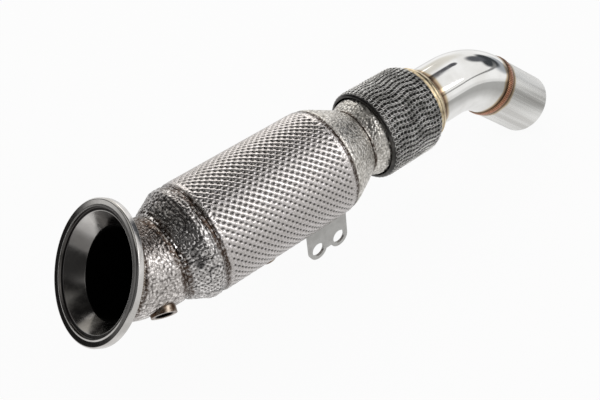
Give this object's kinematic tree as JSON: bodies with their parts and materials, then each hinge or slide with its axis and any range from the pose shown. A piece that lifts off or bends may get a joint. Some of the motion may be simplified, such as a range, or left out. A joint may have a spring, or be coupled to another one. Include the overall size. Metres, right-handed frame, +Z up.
{
  "type": "turbo downpipe",
  "caption": "Exhaust downpipe for a turbo, with a band-clamp flange, bent inlet, foil-shielded catalyst body, hanger plate, braided flexible joint and bent outlet tube.",
  "frame": {"origin": "on the inlet flange's axis, at the front edge of the round band of its rim", "axes": "+X along the body from the inlet to the outlet; +Z up, with the inlet flange above the body's axis and the outlet tube running down; -Y is the side of the front sensor boss and the bracket"},
  "size_m": [0.6358, 0.136, 0.1805],
  "materials": {
    "polished_flange": "polished, turned",
    "weld_metal": "as welded",
    "stainless_tube": "satin",
    "tinted_boss": "machined, heat tinted",
    "fibre_blanket": "matt",
    "dimpled_foil": "bright, dimpled",
    "dark_foil": "crinkled, heat tinted",
    "ceramic_brick": "matt",
    "brick_mat": "matt",
    "woven_foil": "embossed",
    "bracket_steel": "satin",
    "pale_foil": "fine crinkle",
    "steel_braid": "woven wire",
    "bellows_steel": "satin",
    "dark_ring": "smooth, darkened",
    "straw_ring": "smooth, straw heat tint",
    "polished_tube": "mirror polished",
    "brushed_tube": "brushed along its length",
    "copper_weld": "rippled, rose heat tint"
  },
  "bodies": {
    "root": {"inlet_flange": "polished_flange", "flange_weld": "weld_metal", "inlet_elbow": "stainless_tube", "front_sensor_boss": "tinted_boss", "elbow_blanket": "fibre_blanket", "elbow_shield": "dimpled_foil", "inlet_cone": "stainless_tube", "inlet_cone_blanket": "fibre_blanket", "inlet_cone_shield": "dark_foil", "catalyst_can": "stainless_tube", "front_catalyst_brick": "ceramic_brick", "rear_catalyst_brick": "ceramic_brick", "front_brick_mat": "brick_mat", "rear_brick_mat": "brick_mat", "body_blanket": "fibre_blanket", "body_shield": "woven_foil", "rear_sensor_boss": "tinted_boss", "mounting_bracket": "bracket_steel", "bracket_weld": "weld_metal", "outlet_cone": "stainless_tube", "neck_tube": "stainless_tube", "outlet_cone_blanket": "fibre_blanket", "outlet_cone_shield": "pale_foil", "neck_shield": "pale_foil", "neck_blanket": "fibre_blanket", "flex_braid": "steel_braid", "flex_bellows": "bellows_steel", "flex_liner": "bellows_steel", "flex_front_ring": "dark_ring", "flex_rear_cap": "straw_ring", "flex_weld": "straw_ring", "outlet_bend_tube": "polished_tube", "outlet_tube": "brushed_tube", "outlet_weld": "copper_weld"}
  },
  "joints": []
}
